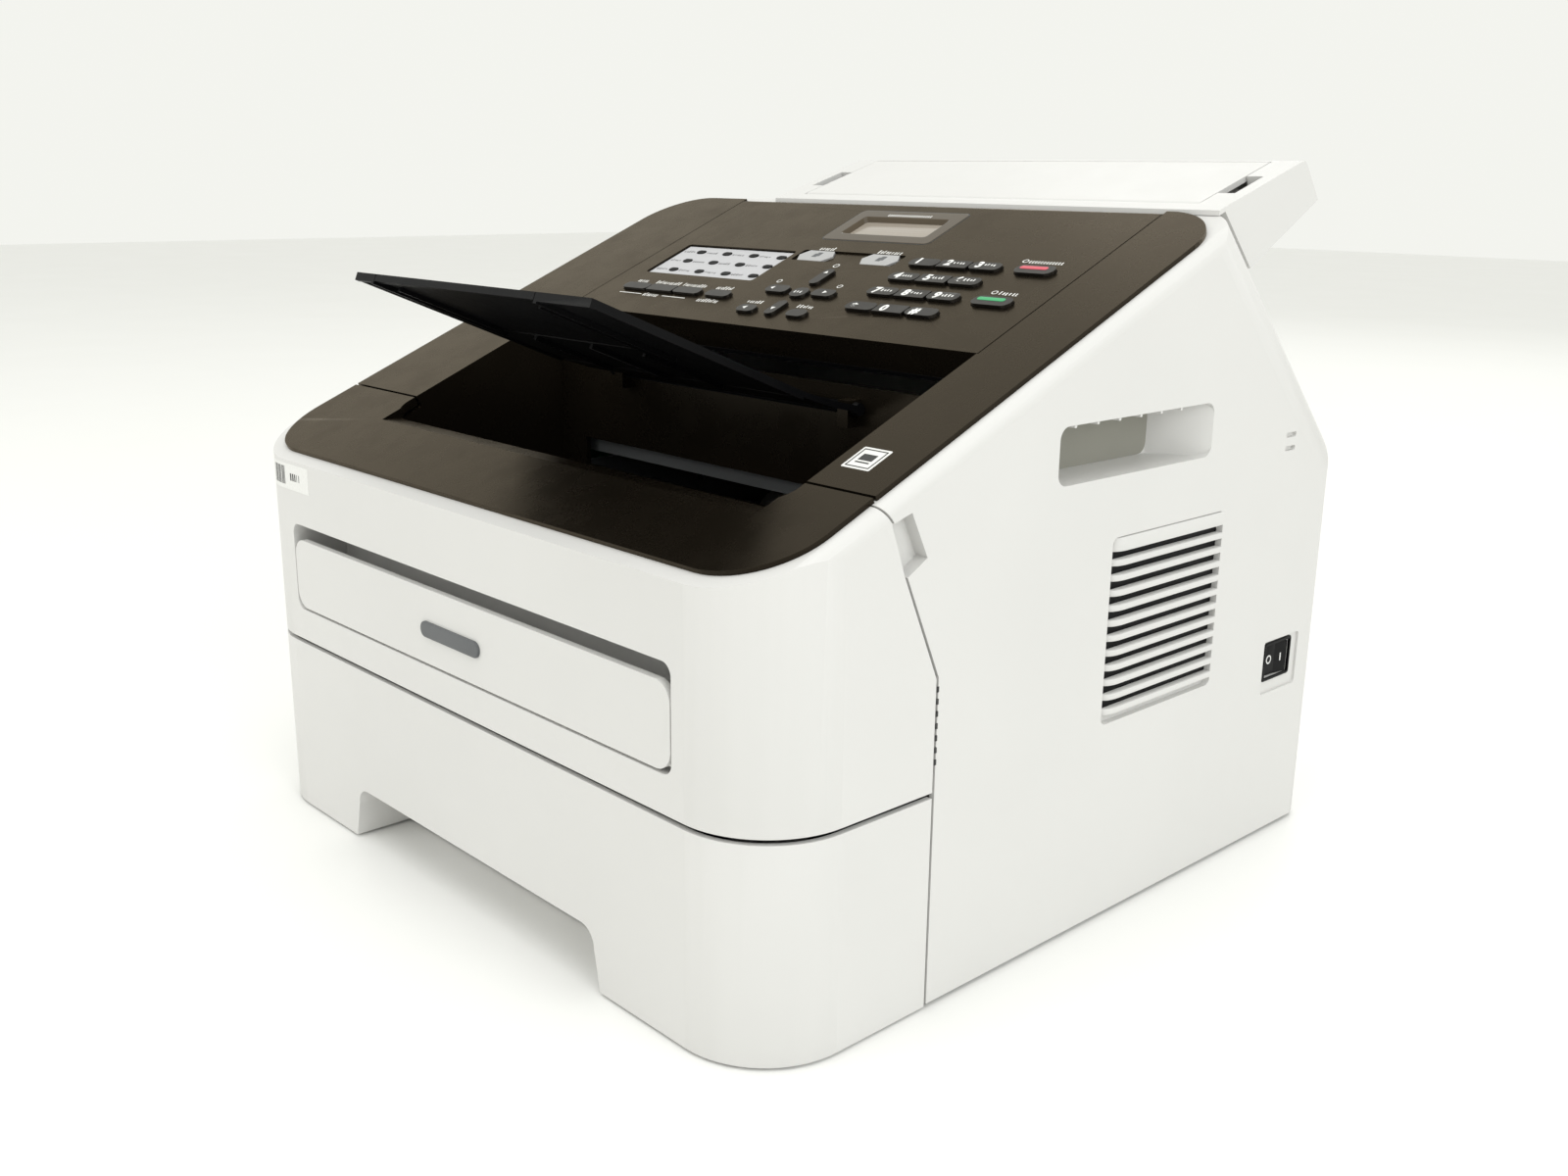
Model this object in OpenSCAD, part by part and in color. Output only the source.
// Laser fax machine: desktop body, raised document flap, sloping control panel.
// Origin on the floor under the middle of the body, X to the right, front at -Y, +Z up.

/* [Body] */
// Width of the body
body_w = 368; // [360:1:376]
// Depth of the body
body_d = 360; // [356:1:364]
// Wall thickness of the outer shells
wall = 2.5; // [2:0.1:3]
// Radius of the two front corners, seen from above
front_r = 38; // [34:1:42]
// Radius of the two rear corners, seen from above
rear_r = 9; // [6:1:12]

/* [Sloping top] */
// Slope of the control panel, in degrees
slope = 23.32; // [23:0.01:23.6]
// Height of the sloping surface above the origin
slope_z = 252.38; // [252:0.01:253]
// How far the black top stands above the white rim
rim_drop = 2; // [1.4:0.1:2.2]

/* [Paper path] */
// Height of the seam above the paper tray
tray_z = 87.5; // [87:0.1:88]
// Width of the paper cassette behind the tray front
cassette_w = 236; // [230:1:238]

/* [Keys] */
// How far each key travels
key_travel = 1; // [0.6:0.1:1.2]
// Gap between a key and the panel round it
key_gap = 0.3; // [0.2:0.05:0.4]

/* [Hidden] */
$fn = 48;

half_w = body_w / 2;
half_d = body_d / 2;
foot_h = 2;
seam = 1.2;            // gap between two covers
big = 600;             // longer than the whole body
off_white = [0.91, 0.91, 0.89];
bronze = [0.20, 0.18, 0.16];
jet = [0.05, 0.05, 0.06];
key_black = [0.10, 0.10, 0.11];
steel = [0.70, 0.71, 0.72];
frame_grey = [0.32, 0.33, 0.34];

// Sloping top: s runs up the slope and h stands square to it
black_x = 177.8;       // half width of the black top
black_front = -190.5;
black_rear = 91.5;
trim_seam = -134.7;    // seam between the front trim and the top cover
trim_gap = 1.2;        // width of that seam
panel_x0 = -120.5;
panel_x1 = 145.5;
panel_low = -38;       // lower edge of the control panel
recess_front = -148.5; // front end of the output recess
plate = 2.8;           // thickness of the control panel's face
panel_depth = 13;      // depth of the control panel box
panel_pin_s = black_rear - 3.6;
panel_pin_h = -3.6;
rear_w = 267.8;        // distance of the rear slope from the origin, along its normal
rear_blend = 28;       // blend between the rear slope and the sides

// Output recess floor: t runs down to the rear from the front end, n stands square to it
floor_y = -135;
floor_z = 190.4;
floor_slope = 22;
floor_len = 99;
tub_rear_y = -41;      // front face of the recess's rear wall
support_pin_t = 47;
support_pin_n = -1.1;

// Document flap
flap_x0 = -70;
flap_x1 = 94;
flap_pin_y = -45;
flap_pin_z = 210.8;
flap_bend_y = -75.7;
flap_bend_z = 220.5;
flap_slope = 22;
flap_len = 108;        // from the bend to the free edge
ext_x0 = -54;
ext_x1 = 60;
ext_len = 62;

// Front cover hinge, at the lower front edge
cover_pin_y = -half_d + 5.95;
cover_pin_z = tray_z + 9.5;
cover_low = tray_z + 0.1;   // lower edge of the front cover
tray_top = tray_z - 2.1;    // upper edge of the paper tray's front
hook_r = 3.1;               // outer radius of the hooks round the hinge pins
slot_pin_y = -half_d + 2.4;
slot_pin_z = 106.1;
rear_pin_y = half_d - 2.6;
rear_pin_z = 33.2;
lid_x0 = -84;
lid_x1 = 155;
slab_x0 = -99;
slab_x1 = 170;
slab_slope = 17.67;
slab_y = 87.4;
slab_z = 290.2;
lid_pin_u = 8.2;
lid_pin_n = -2.2;

// ---------- helpers ----------

// Rectangle with round corners, from corner (x0, y0) to corner (x1, y1)
module rounded(x0, y0, x1, y1, r) {
    translate([x0 + r, y0]) square([x1 - x0 - 2 * r, y1 - y0]);
    translate([x0, y0 + r]) square([x1 - x0, y1 - y0 - 2 * r]);
    for (x = [x0 + r, x1 - r], y = [y0 + r, y1 - r]) translate([x, y]) circle(r);
}

// Box from one corner to the opposite corner
module block(a, b) {
    translate(a) cube(b - a);
}

// Children drawn in the frame of the sloping top
module on_slope() {
    translate([0, 0, slope_z]) rotate([slope, 0, 0]) children();
}

// Children drawn in the frame of the output recess floor
module on_floor() {
    translate([0, floor_y, floor_z]) rotate([-floor_slope, 0, 0]) children();
}

// Children drawn in the frame of the document flap: Y runs from the bend to the free edge
module on_flap() {
    translate([0, flap_bend_y, flap_bend_z]) rotate([-flap_slope, 0, 0]) mirror([0, 1, 0]) children();
}

// Children drawn on the white slab's top: Y runs up to the rear
module on_slab() {
    translate([0, slab_y, slab_z]) rotate([slab_slope, 0, 0]) children();
}

// Outline drawn in Y and Z, pushed out along X
module along_x(x0, x1) {
    translate([x0, 0, 0]) rotate([90, 0, 90]) linear_extrude(x1 - x0) children();
}

// Round pin along X
module pin_x(x0, x1, y, z, r) {
    translate([x0, y, z]) rotate([0, 90, 0]) cylinder(h = x1 - x0, r = r);
}

// Outline of the whole body seen from above, taken in by t
module plan(t = 0) {
    w = half_w - t;
    f = front_r - t;
    b = max(rear_r - t, 1);
    d = half_d - t;
    translate([-w + f, -d]) square([2 * (w - f), f]);
    translate([-w, -d + f]) square([2 * w, 2 * d - f - b]);
    translate([-w + b, d - b]) square([2 * (w - b), b]);
    for (x = [-1, 1]) {
        translate([x * (w - f), -d + f]) circle(f);
        translate([x * (w - b), d - b]) circle(b);
    }
}

// Solid form of the whole body, taken in by t; the bottom is open when t is above 0
module body_form(t = 0) {
    intersection() {
        translate([0, 0, t > 0 ? -1 : foot_h]) linear_extrude(big) plan(t);
        on_slope() translate([0, big / 2, 0]) rotate([90, 0, 0]) linear_extrude(big)
            rounded(-half_w + t, -big, half_w - t, -rim_drop - t, 5.5);
        rotate([-45, 0, 0]) translate([0, big / 2, 0]) rotate([90, 0, 0]) linear_extrude(big)
            rounded(-half_w + t, -big, half_w - t, rear_w - t, rear_blend - t);
    }
}

// Side view of the seam between front cover and housing, moved to the rear by g
function seam_line(g) = [[-95.3 + g, 131 + g / 4], [-113.5 + g, 171], [-121 + g, 191],
    [-126 + g, 197.4], [-131.5 + g, 215]];

// ---------- fixed casing ----------

grip_y0 = -32;
grip_y1 = 71.5;
grip_depth = 22;

// Everything behind the seam of the front cover
module housing_region() {
    along_x(-big, big) polygon(concat([[-94.7, 0]], seam_line(0.6), [[-131, 400], [300, 400], [300, 0]]));
}

// Inside of the grip grown by g; its rear end slants inward
module grip_form(g, outer_x) {
    intersection() {
        along_x(half_w - grip_depth - g, outer_x)
            rounded(grip_y0 - g, 191 - g, grip_y1 + g, 213.5 + g, 5 + g);
        translate([0, 0, 180]) linear_extrude(50)
            polygon([[half_w - grip_depth - g, grip_y0 - g], [half_w + 2, grip_y0 - g],
                [half_w + 2, grip_y1 + 1.4 + 1.2 * g], [half_w - grip_depth - g, grip_y1 - 15.5 + 0.5 * g]]);
    }
}

module side_pockets() {
    difference() {
        grip_form(2, half_w - wall + 0.1);
        grip_form(0, half_w + 1);
    }
    // Finger notch behind the front cover's upper corner
    intersection() {
        along_x(half_w - 8, half_w - wall + 0.1)
            polygon([[-123, 194], [-108, 197], [-98, 175], [-112, 166], [-116, 168.5]]);
        housing_region();
    }
}

module side_pocket_cuts() {
    grip_form(0, half_w + 1);
    along_x(half_w - 5.5, half_w + 1)
        polygon([[-122, 190], [-111.6, 193], [-103, 176], [-113, 170.5], [-116, 171]]);
}

vent_slots = 11;
vent_pitch = 6.24;
vent_low = 95.9;
vent_depth = 3;        // depth of the pocket that the louvres stand in

module vent_cuts() {
    along_x(half_w - vent_depth, half_w + 1) rounded(6, 88, 86, 166, 3);
    for (i = [0:vent_slots - 1])
        along_x(half_w - vent_depth - 4, half_w + 1)
            rounded(15, vent_low + i * vent_pitch - 1.6, 83, vent_low + i * vent_pitch + 1.6, 1.5);
}

rocker_y0 = 134;
rocker_y1 = 154.6;
rocker_z0 = 79.5;
rocker_z1 = 95;
rocker_pin_x = half_w - 5.5;
rocker_pin_r = 1.2;

module main_housing() {
    color(off_white) {
        difference() {
            union() {
                difference() {
                    intersection() {
                        body_form();
                        housing_region();
                    }
                    body_form(wall);
                    on_slope() translate([0, 0, -12]) linear_extrude(20)
                        rounded(-176, -260, 176, 89.5, 30);
                    on_slope() block([panel_x0 - 0.4, 60, -12], [panel_x1 + 0.4, 92.1, 10]);
                }
                side_pockets();
                mirror([1, 0, 0]) side_pockets();
                block([half_w - vent_depth - 2.5, 3.5, 87.3], [half_w - wall + 0.1, 88.5, 168.5]);
                block([rocker_pin_x - 6, rocker_y0 - 2.5, rocker_z0 - 2.5],
                    [half_w - wall + 0.1, rocker_y1 + 2.5, rocker_z1 + 2.5]);
                for (x = [-1, 1]) translate([x * 117.2, 0, 0])
                    block([-2, rear_pin_y - 5, rear_pin_z - 4], [2, half_d - wall + 0.1, rear_pin_z + 4]);
            }
            side_pocket_cuts();
            mirror([1, 0, 0]) side_pocket_cuts();
            vent_cuts();
            along_x(half_w - 1.2, half_w + 1) rounded(131.6, 72, 162, 97.4, 1.5);
            block([rocker_pin_x - 8, rocker_y0, rocker_z0], [half_w + 1, rocker_y1, rocker_z1]);
            translate([rocker_pin_x, (rocker_y0 + rocker_y1) / 2, rocker_z0 - 3])
                cylinder(h = 22, r = rocker_pin_r + 0.06);
            block([-115, half_d - 10, 30], [115, half_d + 1, 160]);
            pin_x(-122, 122, rear_pin_y, rear_pin_z, 1.26);
            along_x(half_w - 1.6, half_w + 1) for (z = [186, 192]) rounded(132.5, z, 141, z + 2.2, 1);
            block([-165.2, half_d - 10, 59.8], [-134.8, half_d + 1, 84.2]);
            block([-half_w - 1, 99.8, 119.8], [-half_w + 10, 130.2, 136.2]);
        }
    }
}

shaft_r = 3;
bore_r = 3.06;
heat_y = 95;
heat_z = 140;
roller_r = 12;
press_z = heat_z - 2 * roller_r - 0.4;
pickup_y = -74;
pickup_z = 70;
gear_teeth = 24;
drive_teeth = 48;
gear_module = 1.25;
gear_r = gear_teeth * gear_module / 2;
drive_r = drive_teeth * gear_module / 2;
drive_y = heat_y - gear_r - drive_r - 0.5;
side_x0 = 118.6;
side_x1 = 121.6;
frame_y0 = -94;
frame_y1 = 169.5;

module frame_side() {
    difference() {
        along_x(side_x0, side_x1) polygon([[-92, 60], [150, 60], [150, 158], [-31, 158], [-35, 145],
            [-92, 110]]);
        for (p = [[heat_y, heat_z], [heat_y, press_z], [pickup_y, pickup_z], [drive_y, heat_z]])
            pin_x(side_x0 - 1, side_x1 + 1, p[0], p[1], bore_r);
    }
}

module cover_hook() {
    difference() {
        union() {
            pin_x(123, 133, cover_pin_y, cover_pin_z, hook_r);
            block([123, cover_pin_y, cover_pin_z - hook_r], [133, -90, cover_pin_z + hook_r]);
        }
        pin_x(122, 134, cover_pin_y, cover_pin_z, 1.56);
    }
}

module base_frame() {
    color(frame_grey) {
        difference() {
            block([-170, frame_y0, tray_z - 3.5], [170, frame_y1, tray_z - 0.5]);
            block([-112, -95, 70], [112, -50, 100]);
        }
        for (m = [0, 1]) mirror([m, 0, 0]) {
            block([cassette_w / 2 + 1, frame_y0, foot_h], [half_w - wall, frame_y1, foot_h + 3]);
            difference() {
                block([cassette_w / 2 + 1, frame_y0, foot_h + 3],
                    [cassette_w / 2 + 3.5, frame_y1, tray_z - 3.5]);
                pin_x(cassette_w / 2, cassette_w / 2 + 5, pickup_y, pickup_z, bore_r);
            }
            frame_side();
            cover_hook();
            block([side_x1, frame_y0, tray_z - 3.5], [134, -84, cover_pin_z + hook_r]);
        }
        block([-cassette_w / 2 - 1, 158, foot_h], [cassette_w / 2 + 1, 161, tray_z - 3.5]);
    }
}

module feet() {
    color(jet) for (x = [-1, 1], y = [-70, 150]) translate([x * 150, y, 0]) {
        cylinder(h = foot_h, r = 8);
    }
}

module top_outline() {
    difference() {
        rounded(-black_x, -black_rear * 2, black_x, black_rear, 30);
        translate([-big, -big]) square([2 * big, big + trim_seam + trim_gap / 2]);
        translate([panel_x0 - 0.3, panel_low - 0.3]) square([panel_x1 - panel_x0 + 0.6, big]);
        translate([panel_x0, -big]) square([panel_x1 - panel_x0 - 0.5, big + panel_low]);
    }
}

// Side view of the recess walls, from the sloping top down to the recess floor
module tub_side() {
    polygon([[-121.2, 197.9], [-34.2, 235.7], [-34.2, 150], [tub_rear_y - 1, 147.4], [-134.5, 184.6],
        [-134.5, 188.4], [-121.2, 194.1]]);
}

module top_cover() {
    color(bronze) {
        difference() {
            on_slope() {
                translate([0, 0, -rim_drop]) linear_extrude(rim_drop) top_outline();
                translate([0, 0, -3.6]) linear_extrude(3.6 - rim_drop) intersection() {
                    top_outline();
                    rounded(-175.6, -260, 175.6, 89.1, 29.8);
                }
                for (x = [panel_x0 - 2.8, panel_x1 + 0.3])
                    block([x, panel_low, -34], [x + 2.5, 84, -rim_drop]);
            }
            on_slope() for (x = [panel_x0 - 5, panel_x1 - 2]) {
                translate([x, panel_pin_s, panel_pin_h]) rotate([0, 90, 0]) cylinder(h = 8, r = 1.56);
                translate([x, 30, -24.8]) rotate([0, 90, 0]) cylinder(h = 8, r = bore_r);
            }
        }
    }
    color(jet) difference() {
        union() {
            along_x(panel_x0 - 2.5, panel_x0) tub_side();
            along_x(panel_x1 - 0.5, panel_x1 + 2) tub_side();
            on_floor() block([panel_x0 - 1, 0.4, -5.2], [panel_x1 + 0.5, floor_len, -2.8]);
            block([panel_x0 - 1, tub_rear_y, 149], [panel_x1 + 0.5, tub_rear_y + 2.5, 219]);
            for (x = [flap_x0 + 4, flap_x1 - 10]) block([x, tub_rear_y - 7, 203], [x + 6, tub_rear_y + 2.5, 214]);
            on_floor() for (x = [-110, 140]) block([x, 44, -3], [x + 3.5, 50, 2]);
        }
        block([-100, tub_rear_y - 1, 160], [120, tub_rear_y + 4, 174]);
        pin_x(flap_x0 - 5, flap_x1 + 5, flap_pin_y, flap_pin_z, 1.56);
        on_floor() pin_x(-112, 144.5, support_pin_t, support_pin_n, 1.06);
    }
}

module panel_profile() {
    // Face plate with a round rear edge
    translate([panel_low, -plate]) square([black_rear - 3.6 - panel_low, plate]);
    translate([panel_pin_s, panel_pin_h]) circle(3.6);
}

// ---------- keys ----------

// Keys as [left, low, right, high, corner radius] in the panel's plane
dial_x = 52.9;
dial_pitch = 17.3;
dial_rows = [29.7, 15.4, 1.1, -13.2];

function dial_key(c, r) = [dial_x + c * dial_pitch + 0.3, dial_rows[r] - 3.3,
    dial_x + (c + 1) * dial_pitch - 0.3, dial_rows[r] + 3.3, c == 1 ? 0.4 : 3.1];
function centred(x, s, w, h, r) = [x - w / 2, s - h / 2, x + w / 2, s + h / 2, r];

function_x = -102.2;
function_pitch = 19.6;
function function_key(i) = [i < 3 ? function_x + i * function_pitch + 0.3 : -38.9, -17.1,
    i < 3 ? function_x + (i + 1) * function_pitch - 0.3 : -22.7, -11.3, i == 1 ? 0.4 : 2.5];

nav_keys = [centred(16, 9.7, 6, 14.8, 2.8), centred(16.3, -21.5, 6, 12.8, 2.8),
    centred(1, -4.8, 14, 6.4, 2.8), centred(31, -5, 13.4, 6.4, 2.8),
    centred(16.8, -6.4, 9.6, 8.4, 3.9), centred(0, -24.6, 11.4, 6.4, 3.1), centred(32.6, -24.4, 11.4, 6.4, 3.1)];
mode_keys = [[-9.2, 31.5], [32.3, 31.5]];
side_keys = [centred(122.4, 29.6, 20, 7.4, 3.6), centred(122.4, 0.6, 20, 7.4, 3.6)];
touch_x = [-90.5, -70.5, -50.5, -30.5];
touch_s = [28.6, 18.6, 8.6];
key_rise = 1.4;        // how far a key stands above the panel
mode_rise = 0.1;       // the same for the two mode keys, which lie in a shallow recess
key_skirt = 4.2;       // how far a key reaches below the panel's face
tab_h = 0.8;           // thickness of the tabs that keep a key in
tab_reach = 0.9;       // how far the tabs reach past the key

module key_shape(k, g = 0) {
    rounded(k[0] - g, k[1] - g, k[2] + g, k[3] + g, k[4] + g);
}

// Elongated hexagon of a mode key
module mode_shape(p, g = 0) {
    translate(p) polygon([[-11.2 - g, 0], [-8 - g / 2, -5.2 - g], [8 + g / 2, -5.2 - g], [11.2 + g, 0],
        [8 + g / 2, 5.2 + g], [-8 - g / 2, 5.2 + g]]);
}

module touch_shape(x, s, g = 0) {
    translate([x, s]) rounded(-3 - g, -1.65 - g, 3 + g, 1.65 + g, 1.6 + g);
}

// Key cap with the two tabs under the panel that keep it in
module key(k, c = key_black) {
    middle = (k[0] + k[2]) / 2;
    tab = max((k[2] - k[0]) / 2 - k[4] - 0.2, 1);
    color(c) on_slope() {
        translate([0, 0, -key_skirt]) linear_extrude(key_skirt + key_rise) key_shape(k);
        block([middle - tab, k[1] - tab_reach, -key_skirt],
            [middle + tab, k[3] + tab_reach, -key_skirt + tab_h]);
    }
}

module mode_key(p) {
    color([0.72, 0.73, 0.74]) on_slope() {
        translate([0, 0, -key_skirt]) linear_extrude(key_skirt + mode_rise) mode_shape(p);
        translate([0, 0, -key_skirt]) linear_extrude(tab_h) translate(p) square([14, 12.2], center = true);
    }
}

module key_holes() {
    for (c = [0:2], r = [0:3]) key_shape(dial_key(c, r), key_gap);
    for (i = [0:3]) key_shape(function_key(i), key_gap);
    for (k = nav_keys) key_shape(k, key_gap);
    for (k = side_keys) key_shape(k, key_gap);
    for (p = mode_keys) mode_shape(p, key_gap);
    for (x = touch_x, s = touch_s) touch_shape(x, s, key_gap);
}

module panel_housing() {
    color(bronze) difference() {
        on_slope() {
            rotate([90, 0, 90]) translate([0, 0, panel_x0 + 0.3])
                linear_extrude(panel_x1 - panel_x0 - 0.6) panel_profile();
            for (x = [panel_x0 + 0.3, panel_x1 - 2.3])
                block([x, panel_low, -panel_depth], [x + 2, 78, -plate]);
            block([panel_x0 + 0.3, panel_low, -panel_depth], [panel_x1 - 0.3, panel_low + 2, -plate]);
            block([panel_x0 + 0.3, 76, -panel_depth], [panel_x1 - 0.3, 78, -plate]);
            for (x = [panel_x0 - 2.6, panel_x1 - 1])
                translate([x, panel_pin_s, panel_pin_h]) rotate([0, 90, 0]) cylinder(h = 3.6, r = 1.5);
        }
        on_slope() {
            translate([0, 0, -plate - 1]) linear_extrude(plate + 2) key_holes();
            translate([0, 0, -1.2]) linear_extrude(3) rounded(-106, 2.5, -25, 34.8, 2);
            translate([0, 0, -0.8]) linear_extrude(3) rounded(-21.5, 26, 44.5, 37, 1.5);
            translate([0, 0, -plate - 1]) linear_extrude(plate + 2) rounded(-22.5, 49, 46.5, 82, 3);
        }
    }
}

module panel_under_cover() {
    color(jet) on_slope() {
        block([panel_x0 + 0.3, panel_low, -panel_depth - 2], [panel_x1 - 0.3, 78, -panel_depth]);
        for (x = [-100:20:120]) block([x, panel_low + 2, -panel_depth - 3.2], [x + 2, 14, -panel_depth - 2]);
    }
}

module lcd_window() {
    color(bronze) on_slope() difference() {
        translate([0, 0, -plate]) linear_extrude(plate + 0.2) rounded(-22.5, 49, 46.5, 82, 3);
        translate([0, 0, -plate - 1]) linear_extrude(2.9) rounded(-14, 57, 38, 73.5, 1);
        translate([0, 0, -0.3]) linear_extrude(2) rounded(-14, 57, 38, 73.5, 1);
    }
}

module panel_board() {
    color([0.10, 0.32, 0.18]) on_slope() {
        block([panel_x0 + 8, -30, -9], [panel_x1 - 8, 72, -7.4]);
        block([-16, 55, -7.4], [40, 76, -4.2]);
    }
}

module one_touch_mat() {
    color([0.25, 0.25, 0.26]) on_slope() {
        block([-104, 4, -6], [-27, 33, -5]);
        for (x = touch_x, s = touch_s)
            translate([0, 0, -5]) linear_extrude(4.4) touch_shape(x, s);
    }
}

// ---------- front cover and its flaps ----------

slot_half = 139.5;

// Wide plate or recess with round corners, standing upright across the front
module slot_form(x, z0, z1, r, y0, y1) {
    translate([0, y1, 0]) rotate([90, 0, 0]) linear_extrude(y1 - y0) rounded(-x, z0, x, z1, r);
}

module cover_region(g = 0) {
    polygon(concat([[-300, cover_low - g], [-95.9 + g, cover_low - g]], seam_line(-0.6 + g),
        [[-132, 400], [-300, 400]]));
}

module front_cover() {
    color(off_white) {
        difference() {
            union() {
                difference() {
                    intersection() {
                        body_form();
                        along_x(-big, big) cover_region();
                    }
                    intersection() {
                        body_form(wall);
                        along_x(-big, big) cover_region(5);
                    }
                    on_slope() translate([0, 0, -12]) linear_extrude(20) rounded(-176, -188.7, 176, -100, 31);
                    on_slope() block([-175, -150, -20], [175, -100, 10]);
                }
                block([-slot_half - 2, -half_d + 1, 100.5], [slot_half + 2, -152, 145.5]);
                for (x = [118.5, 133.4]) for (m = [0, 1]) mirror([m, 0, 0]) {
                    pin_x(x, x + 4, cover_pin_y, cover_pin_z, 3);
                    block([x, -half_d + 1, cover_pin_z - 3], [x + 4, cover_pin_y, cover_pin_z + 3]);
                }
                for (m = [0, 1]) mirror([m, 0, 0]) pin_x(119, 137, cover_pin_y, cover_pin_z, 1.5);
            }
            slot_form(slot_half, 102.5, 143.5, 5, -200, -154);
            block([-110, -160, 106], [110, -150, 114]);
            pin_x(-slot_half - 3, slot_half + 3, slot_pin_y, slot_pin_z, 0.96);
        }
    }
}

module trim_outline() {
    difference() {
        rounded(-black_x, black_front, black_x, 0, 33);
        translate([-big, trim_seam - trim_gap / 2]) square([2 * big, big]);
        rounded(panel_x0, recess_front, panel_x1 - 0.5, 0, 10);
    }
}

module front_trim() {
    color(bronze) on_slope() difference() {
        union() {
            translate([0, 0, -rim_drop]) linear_extrude(rim_drop) trim_outline();
            translate([0, 0, -4.2]) linear_extrude(4.2 - rim_drop) intersection() {
                trim_outline();
                rounded(-175.6, -188.3, 175.6, 0, 31);
            }
        }
        // Bevel that leads down into the recess
        translate([panel_x0 + 3, recess_front, -3.4]) rotate([-24, 0, 0]) translate([0, -16, 0])
            cube([panel_x1 - panel_x0 - 6.5, 20, 10]);
    }
}

module slot_cover() {
    w = slot_half - 0.7;
    color(off_white) {
        slot_form(w, slot_pin_z - 2.4, 136.3, 8, -half_d, -half_d + 3);
        pin_x(-w + 9, w - 9, slot_pin_y, slot_pin_z, 2.4);
        pin_x(-slot_half - 1.5, slot_half + 1.5, slot_pin_y, slot_pin_z, 0.9);
    }
}

// Hand notch under the paper tray's front
module notch_form() {
    translate([0, -150, 0]) rotate([90, 0, 0]) linear_extrude(half_d - 149) {
        polygon([[-96.2, -1], [95.4, -1], [91.6, 18.4], [83.6, 26.4], [-83.6, 26.4], [-91.6, 18.4]]);
        for (x = [-83.6, 83.6]) translate([x, 18.4]) circle(8);
    }
}

module paper_tray() {
    c = cassette_w / 2;
    color(off_white) difference() {
        union() {
            difference() {
                translate([0, 0, foot_h - 0.8]) linear_extrude(tray_top - foot_h + 0.8) intersection() {
                    plan();
                    translate([-big, -half_d]) square([2 * big, half_d - 95.9]);
                }
                translate([0, 0, 29]) linear_extrude(big) intersection() {
                    plan(wall);
                    translate([-big, -half_d]) square([2 * big, half_d - 60]);
                }
                translate([0, 0, foot_h + 2]) linear_extrude(24) intersection() {
                    plan(wall);
                    for (m = [0, 1]) mirror([m, 0, 0]) translate([101, -half_d]) square([100, half_d - 90]);
                }
                notch_form();
            }
            block([-c, -152, foot_h - 0.8], [c, 154, 58]);
        }
        block([-c + wall, -149.5, foot_h + 1.7], [c - wall, 151.5, 100]);
        block([-c + 10, -152.5, 50], [c - 10, -140, 100]);
    }
}

lift_pin_y = 20;
lift_pin_z = 8;

module lift_plate() {
    color(steel) {
        block([-105, -145, lift_pin_z - 1], [105, lift_pin_y, lift_pin_z + 1]);
        pin_x(-107, 107, lift_pin_y, lift_pin_z, 2.5);
    }
}

// ---------- document feeder ----------

module document_tray() {
    color(off_white) difference() {
        along_x(slab_x0, slab_x1) polygon([[85.4, 287.4], [85.4, 289.5], [slab_y, slab_z], [148.5, 309.6],
            [151, 310], [152.8, 309], [165.4, 293.5], [113.5, 265.3], [89.9, 289]]);
        along_x(slab_x0 + 3, slab_x1 - 3) polygon([[98, 285], [150, 301.6], [160.5, 293.8],
            [114.5, 268.4], [98, 284.2]]);
        on_slab() block([lid_x0 - 0.5, 5.5, -6], [lid_x1 + 0.5, 64, 10]);
        on_slab() block([lid_x0 - 8.6, 20, -9], [lid_x1 + 8.6, 43, 10]);
        on_slab() pin_x(lid_x0 - 3.5, lid_x1 + 3.5, lid_pin_u, lid_pin_n, 1.26);
    }
}

module document_lid() {
    color(off_white) on_slab() {
        rotate([90, 0, 90]) translate([0, 0, lid_x0]) linear_extrude(lid_x1 - lid_x0) {
            translate([lid_pin_u, -2.5]) square([55, 2.5]);
            translate([lid_pin_u, lid_pin_n]) circle(2.2);
        }
        for (x = [lid_x0 + 12, lid_x1 - 14]) block([x, 20, -5], [x + 2, 55, -2.5]);
        pin_x(lid_x0 - 3, lid_x1 + 3, lid_pin_u, lid_pin_n, 1.2);
    }
}

flap_t = 2.2;
ext_pin_u = flap_len - 3.2;
ext_pin_n = -1.4;

module flap_plate() {
    rotate([90, 0, 90]) translate([0, 0, flap_x0]) linear_extrude(flap_x1 - flap_x0) {
        translate([0, -flap_t]) square([flap_len, flap_t]);
    }
}

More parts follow.
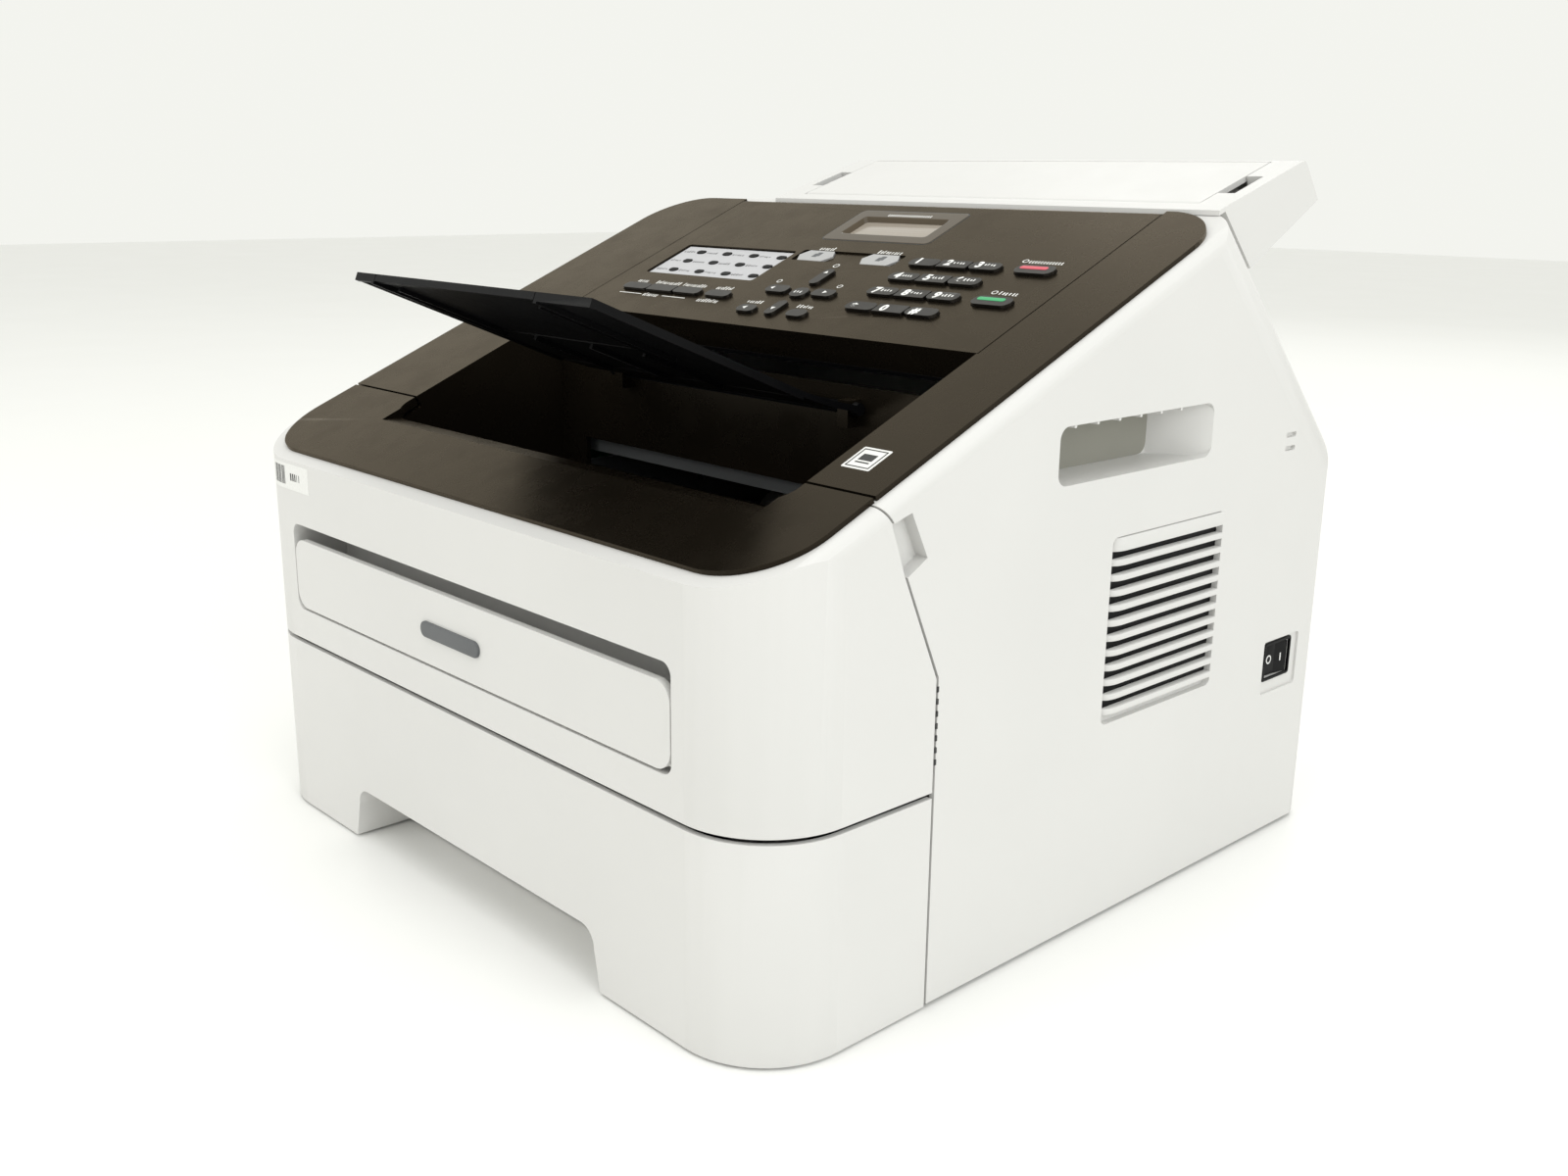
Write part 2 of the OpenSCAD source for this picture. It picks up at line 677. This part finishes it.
module document_flap() {
    color(jet) {
        difference() {
            on_flap() {
                flap_plate();
                for (x = [flap_x0, flap_x1 - 2]) block([x, 0, -3.2], [x + 2, flap_len, 0]);
                for (x = [flap_x0, ext_x1 + 0.4]) block([x, flap_len - 2, -3.4],
                    [x == flap_x0 ? ext_x0 - 0.4 : flap_x1, flap_len, 0]);
                for (x = [ext_x0 - 2.4, ext_x1 + 0.4]) block([x, flap_len - ext_len - 6, -4.2], [x + 2, flap_len, 0]);
                for (x = [-30, 10, 45]) block([x, 0, -4.2], [x + 1.6, flap_len - ext_len - 3, -flap_t]);
            }
            on_flap() block([ext_x0 - 0.4, flap_len - ext_len, -10], [ext_x1 + 0.4, flap_len + 1, 10]);
            on_flap() pin_x(ext_x0 - 4, ext_x1 + 4, ext_pin_u, ext_pin_n, 1.06);
        }
        // Rear part, from the bend down to the hinge
        difference() {
            along_x(flap_x0, flap_x1) polygon([[flap_bend_y - 0.5, flap_bend_z + 0.2], [-59.5, 215.6],
                [-47, 212.7], [-47, 210], [-60, 213], [flap_bend_y - 0.5, flap_bend_z - 2.2]]);
            for (x = [flap_x0 + 3, flap_x1 - 11]) block([x, -54, 200], [x + 8, -30, 220]);
        }
        difference() {
            pin_x(flap_x0, flap_x1, flap_pin_y, flap_pin_z, 2.6);
            for (x = [flap_x0 + 3, flap_x1 - 11]) block([x, -54, 200], [x + 8, -30, 220]);
        }
        pin_x(flap_x0 + 1, flap_x1 - 1, flap_pin_y, flap_pin_z, 1.5);
    }
}

module flap_extension() {
    color(jet) on_flap() {
        block([ext_x0, flap_len - ext_len + 0.6, -flap_t], [ext_x1, ext_pin_u, 0]);
        block([ext_x0, ext_pin_u, -2.9], [ext_x1, flap_len, 0]);
        pin_x(ext_x0 - 2.2, ext_x1 + 2.2, ext_pin_u, ext_pin_n, 1);
        for (x = [ext_x0 + 6, ext_x1 - 7.5]) block([x, flap_len - ext_len + 2, -4], [x + 1.5, flap_len - 8, -flap_t]);
    }
}

module support_flap() {
    color(jet) on_floor() {
        difference() {
            block([-103, 1.6, -2.2], [136, support_pin_t, 0]);
            translate([20, -8, -3]) cylinder(h = 4, r = 17);
        }
        pin_x(-109.5, 142.5, support_pin_t, support_pin_n, 1);
    }
}

// ---------- rear and electrical parts ----------

module rear_cover() {
    color(off_white) {
        along_x(-114.4, 114.4) {
            translate([half_d - 3, rear_pin_z]) square([3, 159.4 - rear_pin_z]);
            translate([rear_pin_y, rear_pin_z]) circle(2.6);
        }
        pin_x(-118, 118, rear_pin_y, rear_pin_z, 1.2);
    }
}

module power_rocker() {
    color(jet) {
        translate([0, 0, rocker_z0 + 0.4]) linear_extrude(rocker_z1 - rocker_z0 - 0.8)
            translate([rocker_pin_x, (rocker_y0 + rocker_y1) / 2])
            polygon([[-2, -6], [-2, 6], [4, 8.4], [5.4, 8], [3.8, 0], [3.4, -9], [2, -9.2]]);
        translate([rocker_pin_x, (rocker_y0 + rocker_y1) / 2, rocker_z0 - 2.2])
            cylinder(h = rocker_z1 - rocker_z0 + 4.4, r = rocker_pin_r);
    }
}

module power_inlet() {
    color(jet) difference() {
        block([-165, half_d - 24, 60], [-135, half_d, 84]);
        block([-161, half_d - 16, 64], [-139, half_d + 1, 80]);
    }
    color(steel) for (x = [-157, -150, -143]) block([x - 1, half_d - 17, 70], [x + 1, half_d - 4, 74]);
}

module line_jacks() {
    color(key_black) difference() {
        block([-half_w, 100, 120], [-half_w + 14, 130, 136]);
        for (y = [103, 117]) block([-half_w - 1, y, 123], [-half_w + 11, y + 10, 133]);
    }
}

module drum_unit() {
    color(jet) {
        along_x(-114, 114) polygon([[-52, 94], [12, 94], [20, 102], [20, 122], [8, 134], [-52, 134]]);
    }
    color([0.10, 0.45, 0.30]) pin_x(-114.5, 114.5, -30, 99.6, 12);
}

module toner_cartridge() {
    color(key_black) {
        along_x(-110, 110) polygon([[-134, 104], [-122, 97], [-52.4, 97], [-52.4, 134], [-78, 150], [-122, 150],
            [-134, 140]]);
        along_x(-40, 40) polygon([[-148, 120], [-134, 118], [-134, 126], [-148, 124]]);
    }
}

module gear_x(x0, x1, y, z, teeth, phase) {
    r = teeth * gear_module / 2;
    along_x(x0, x1) translate([y, z]) {
        circle(r - 1.3 * gear_module);
        for (i = [0:teeth - 1]) rotate([0, 0, phase + i * 360 / teeth])
            polygon([[r - 2 * gear_module, -1.05], [r - 0.2, -0.75], [r + 0.8 * gear_module, -0.35],
                [r + 0.8 * gear_module, 0.35], [r - 0.2, 0.75], [r - 2 * gear_module, 1.05]]);
    }
}

module heat_roller() {
    color([0.55, 0.22, 0.16]) pin_x(-108, 108, heat_y, heat_z, roller_r);
    color(steel) pin_x(-124, 132, heat_y, heat_z, shaft_r);
    color([0.85, 0.84, 0.78]) gear_x(123.4, 130, heat_y, heat_z, gear_teeth, 0);
}

module pressure_roller() {
    color([0.75, 0.72, 0.68]) pin_x(-108, 108, heat_y, press_z, roller_r);
    color(steel) pin_x(-124, 124, heat_y, press_z, shaft_r);
}

module pickup_roller() {
    color(jet) pin_x(-20, 20, pickup_y, pickup_z, 10);
    color(steel) pin_x(-124, 124, pickup_y, pickup_z, shaft_r);
}

module adf_roller() {
    color(jet) on_slope() {
        for (x = [-60, 0, 60]) pin_x(x, x + 30, 30, -24.8, 8);
    }
    color(steel) on_slope() pin_x(panel_x0 - 2, panel_x1 + 1, 30, -24.8, shaft_r);
}

module drive_gear() {
    color([0.85, 0.84, 0.78]) gear_x(123.4, 130, drive_y, heat_z, drive_teeth, 360 / drive_teeth / 2);
    color(steel) pin_x(116, 132, drive_y, heat_z, shaft_r);
}

module laser_unit() {
    color(frame_grey) {
        block([-115, -34, 166], [115, 62, 190]);
        block([-90, 0, 160], [90, 12, 166]);
    }
    color(steel) translate([40, 34, 190]) cylinder(h = 5, r = 22);
}

module main_motor() {
    color(steel) {
        pin_x(132.5, 160, -10, 122, 22);
        block([130.5, -40, 98], [132.5, 22, 148]);
    }
}

module main_board() {
    color([0.10, 0.36, 0.20]) block([-176, -60, 95], [-174.4, 95, 185]);
    color(key_black) {
        block([-174.4, -20, 140], [-170, 20, 176]);
        block([-174.4, 40, 120], [-166, 60, 160]);
    }
}

main_housing();
base_frame();
top_cover();
front_cover();
front_trim();
slot_cover();
paper_tray();
lift_plate();
panel_housing();
panel_under_cover();
lcd_window();
panel_board();
document_tray();
document_lid();
document_flap();
flap_extension();
support_flap();
rear_cover();
power_rocker();
power_inlet();
line_jacks();
drum_unit();
toner_cartridge();
heat_roller();
pressure_roller();
pickup_roller();
adf_roller();
laser_unit();
main_motor();
drive_gear();
main_board();
feet();
key(dial_key(0, 0));  // key_1
key(dial_key(1, 0));  // key_2
key(dial_key(2, 0));  // key_3
key(dial_key(0, 1));  // key_4
key(dial_key(1, 1));  // key_5
key(dial_key(2, 1));  // key_6
key(dial_key(0, 2));  // key_7
key(dial_key(1, 2));  // key_8
key(dial_key(2, 2));  // key_9
key(dial_key(0, 3));  // key_star
key(dial_key(1, 3));  // key_0
key(dial_key(2, 3));  // key_hash
key(nav_keys[0]);  // nav_up
key(nav_keys[1]);  // nav_down
key(nav_keys[2]);  // nav_left
key(nav_keys[3]);  // nav_right
key(nav_keys[4]);  // nav_ok
key(nav_keys[5]);  // key_clear
key(nav_keys[6]);  // key_menu
key(function_key(0));  // function_key_1
key(function_key(1));  // function_key_2
key(function_key(2));  // function_key_3
key(function_key(3));  // function_key_4
mode_key(mode_keys[0]);  // mode_fax_key
mode_key(mode_keys[1]);  // mode_copy_key
key(side_keys[0]);  // stop_key
key(side_keys[1]);  // start_key
one_touch_mat();
